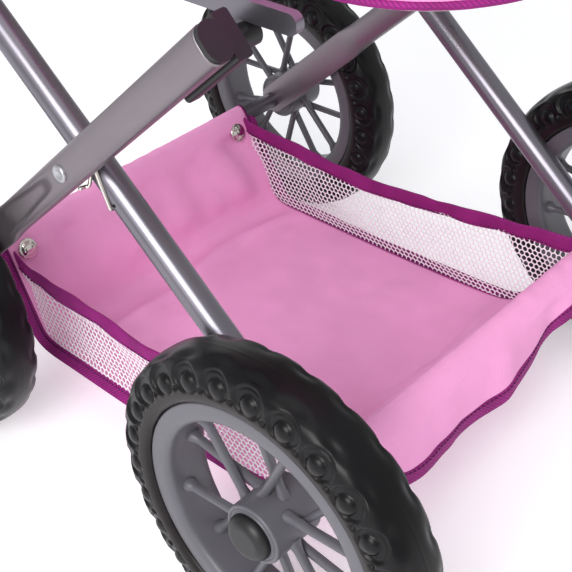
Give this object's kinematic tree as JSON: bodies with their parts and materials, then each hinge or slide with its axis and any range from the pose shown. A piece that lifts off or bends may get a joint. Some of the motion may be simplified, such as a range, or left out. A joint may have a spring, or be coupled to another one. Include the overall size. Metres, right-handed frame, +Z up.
{
  "type": "doll stroller",
  "caption": "Folding stroller with a carrycot and hood on a crossed tube frame, spoked wheels, a fabric basket with mesh sides and a tilting handle.",
  "frame": {"origin": "on the ground, midway between the front and rear axles and between the left and right wheels", "axes": "+X forward, +Y to the left side, +Z up"},
  "size_m": [0.6934, 0.3886, 0.6206],
  "materials": {
    "tyre_eva": "moulded EVA foam, soft gloss",
    "wheel_plastic": "silver-grey moulded plastic",
    "black_plastic": "black moulded plastic",
    "silver_tube": "silver-grey satin powder coat on steel",
    "leg_steel": "grey satin powder coat on steel",
    "steel": "zinc-plated steel",
    "nickel": "nickel plate",
    "pink_fabric": "light pink woven polyester",
    "mesh_fabric": "white hexagonal polyester mesh",
    "binding": "fuchsia ribbed binding tape",
    "mattress_fabric": "pale pink cotton",
    "board": "stiff board",
    "grip_foam": "black foam"
  },
  "bodies": {
    "push_frame": {"push_tube_left": "silver_tube", "push_tube_right": "silver_tube", "push_tube_plugs": "black_plastic", "axle_front": "steel", "cross_tube_front": "silver_tube", "spacers_front": "black_plastic", "hub_cap_front_left": "black_plastic", "hub_cap_front_right": "black_plastic", "pivot_rivets": "nickel", "pivot_springs": "nickel", "basket_front": "pink_fabric", "cot_bracket_left": "black_plastic", "cot_bracket_right": "black_plastic", "handle_disc_inner_left": "black_plastic", "handle_disc_inner_right": "black_plastic", "handle_pins": "steel"},
    "leg_frame": {"leg_tube_left": "leg_steel", "leg_tube_right": "leg_steel", "leg_plugs": "black_plastic", "axle_rear": "steel", "cross_tube_rear": "silver_tube", "spacers_rear": "black_plastic", "hub_cap_rear_left": "black_plastic", "hub_cap_rear_right": "black_plastic", "basket_rear": "pink_fabric", "basket_snaps": "nickel", "cot_adapter_left": "black_plastic", "cot_adapter_right": "black_plastic"},
    "cot": {"cot_rail_left": "steel", "cot_rail_right": "steel", "cot_slats": "steel", "cot_board": "board", "cot_shell": "pink_fabric", "cot_rim": "steel", "mattress": "mattress_fabric", "hood_rear": "pink_fabric", "hood_rear_bow": "steel", "hood_pivots": "black_plastic"},
    "hood": {"hood_front": "pink_fabric", "hood_front_bow": "steel"},
    "handle": {"handle_bar": "silver_tube", "handle_grip": "grip_foam", "handle_disc_outer_left": "black_plastic", "handle_disc_outer_right": "black_plastic"},
    "button_left": {"handle_button_left": "black_plastic"},
    "button_right": {"handle_button_right": "black_plastic"},
    "wheel_front_left": {"tyre_front_left": "tyre_eva", "rim_front_left": "wheel_plastic"},
    "wheel_front_right": {"tyre_front_right": "tyre_eva", "rim_front_right": "wheel_plastic"},
    "wheel_rear_left": {"tyre_rear_left": "tyre_eva", "rim_rear_left": "wheel_plastic"},
    "wheel_rear_right": {"tyre_rear_right": "tyre_eva", "rim_rear_right": "wheel_plastic"}
  },
  "joints": [
    {"name": "frame_fold", "type": "hinge", "parent": "push_frame", "child": "leg_frame", "pos_m": [0, 0, 0.22969], "axis": [0, -1, 0], "range_deg": [0, 36], "deforming": ["pivot_springs"]},
    {"name": "cot_tilt", "type": "hinge", "parent": "push_frame", "child": "cot", "pos_m": [-0.11457, 0, 0.32999], "axis": [0, -1, 0], "range_deg": [0, 17.4]},
    {"name": "hood_fold", "type": "hinge", "parent": "cot", "child": "hood", "pos_m": [-0.092, 0, 0.4705], "axis": [0, -1, 0], "range_deg": [0, 60]},
    {"name": "handle_tilt", "type": "hinge", "parent": "push_frame", "child": "handle", "pos_m": [-0.34409, 0, 0.53092], "axis": [0, -1, 0], "range_deg": [-40, 40]},
    {"name": "button_left_press", "type": "slide", "parent": "handle", "child": "button_left", "axis": [0, -1, 0], "range_m": [0, 0.0028], "stiffness_N_per_m": 400},
    {"name": "button_right_press", "type": "slide", "parent": "handle", "child": "button_right", "axis": [0, 1, 0], "range_m": [0, 0.0028], "stiffness_N_per_m": 400},
    {"name": "wheel_spin_front_left", "type": "hinge", "parent": "push_frame", "child": "wheel_front_left", "pos_m": [0.151, 0, 0.0975], "axis": [0, 1, 0], "continuous": true},
    {"name": "wheel_spin_front_right", "type": "hinge", "parent": "push_frame", "child": "wheel_front_right", "pos_m": [0.151, 0, 0.0975], "axis": [0, 1, 0], "continuous": true},
    {"name": "wheel_spin_rear_left", "type": "hinge", "parent": "leg_frame", "child": "wheel_rear_left", "pos_m": [-0.151, 0, 0.0975], "axis": [0, 1, 0], "continuous": true},
    {"name": "wheel_spin_rear_right", "type": "hinge", "parent": "leg_frame", "child": "wheel_rear_right", "pos_m": [-0.151, 0, 0.0975], "axis": [0, 1, 0], "continuous": true}
  ],
  "couplings": [
    {"joint": "cot_tilt", "follows": "frame_fold", "ratio": 0.48}
  ]
}
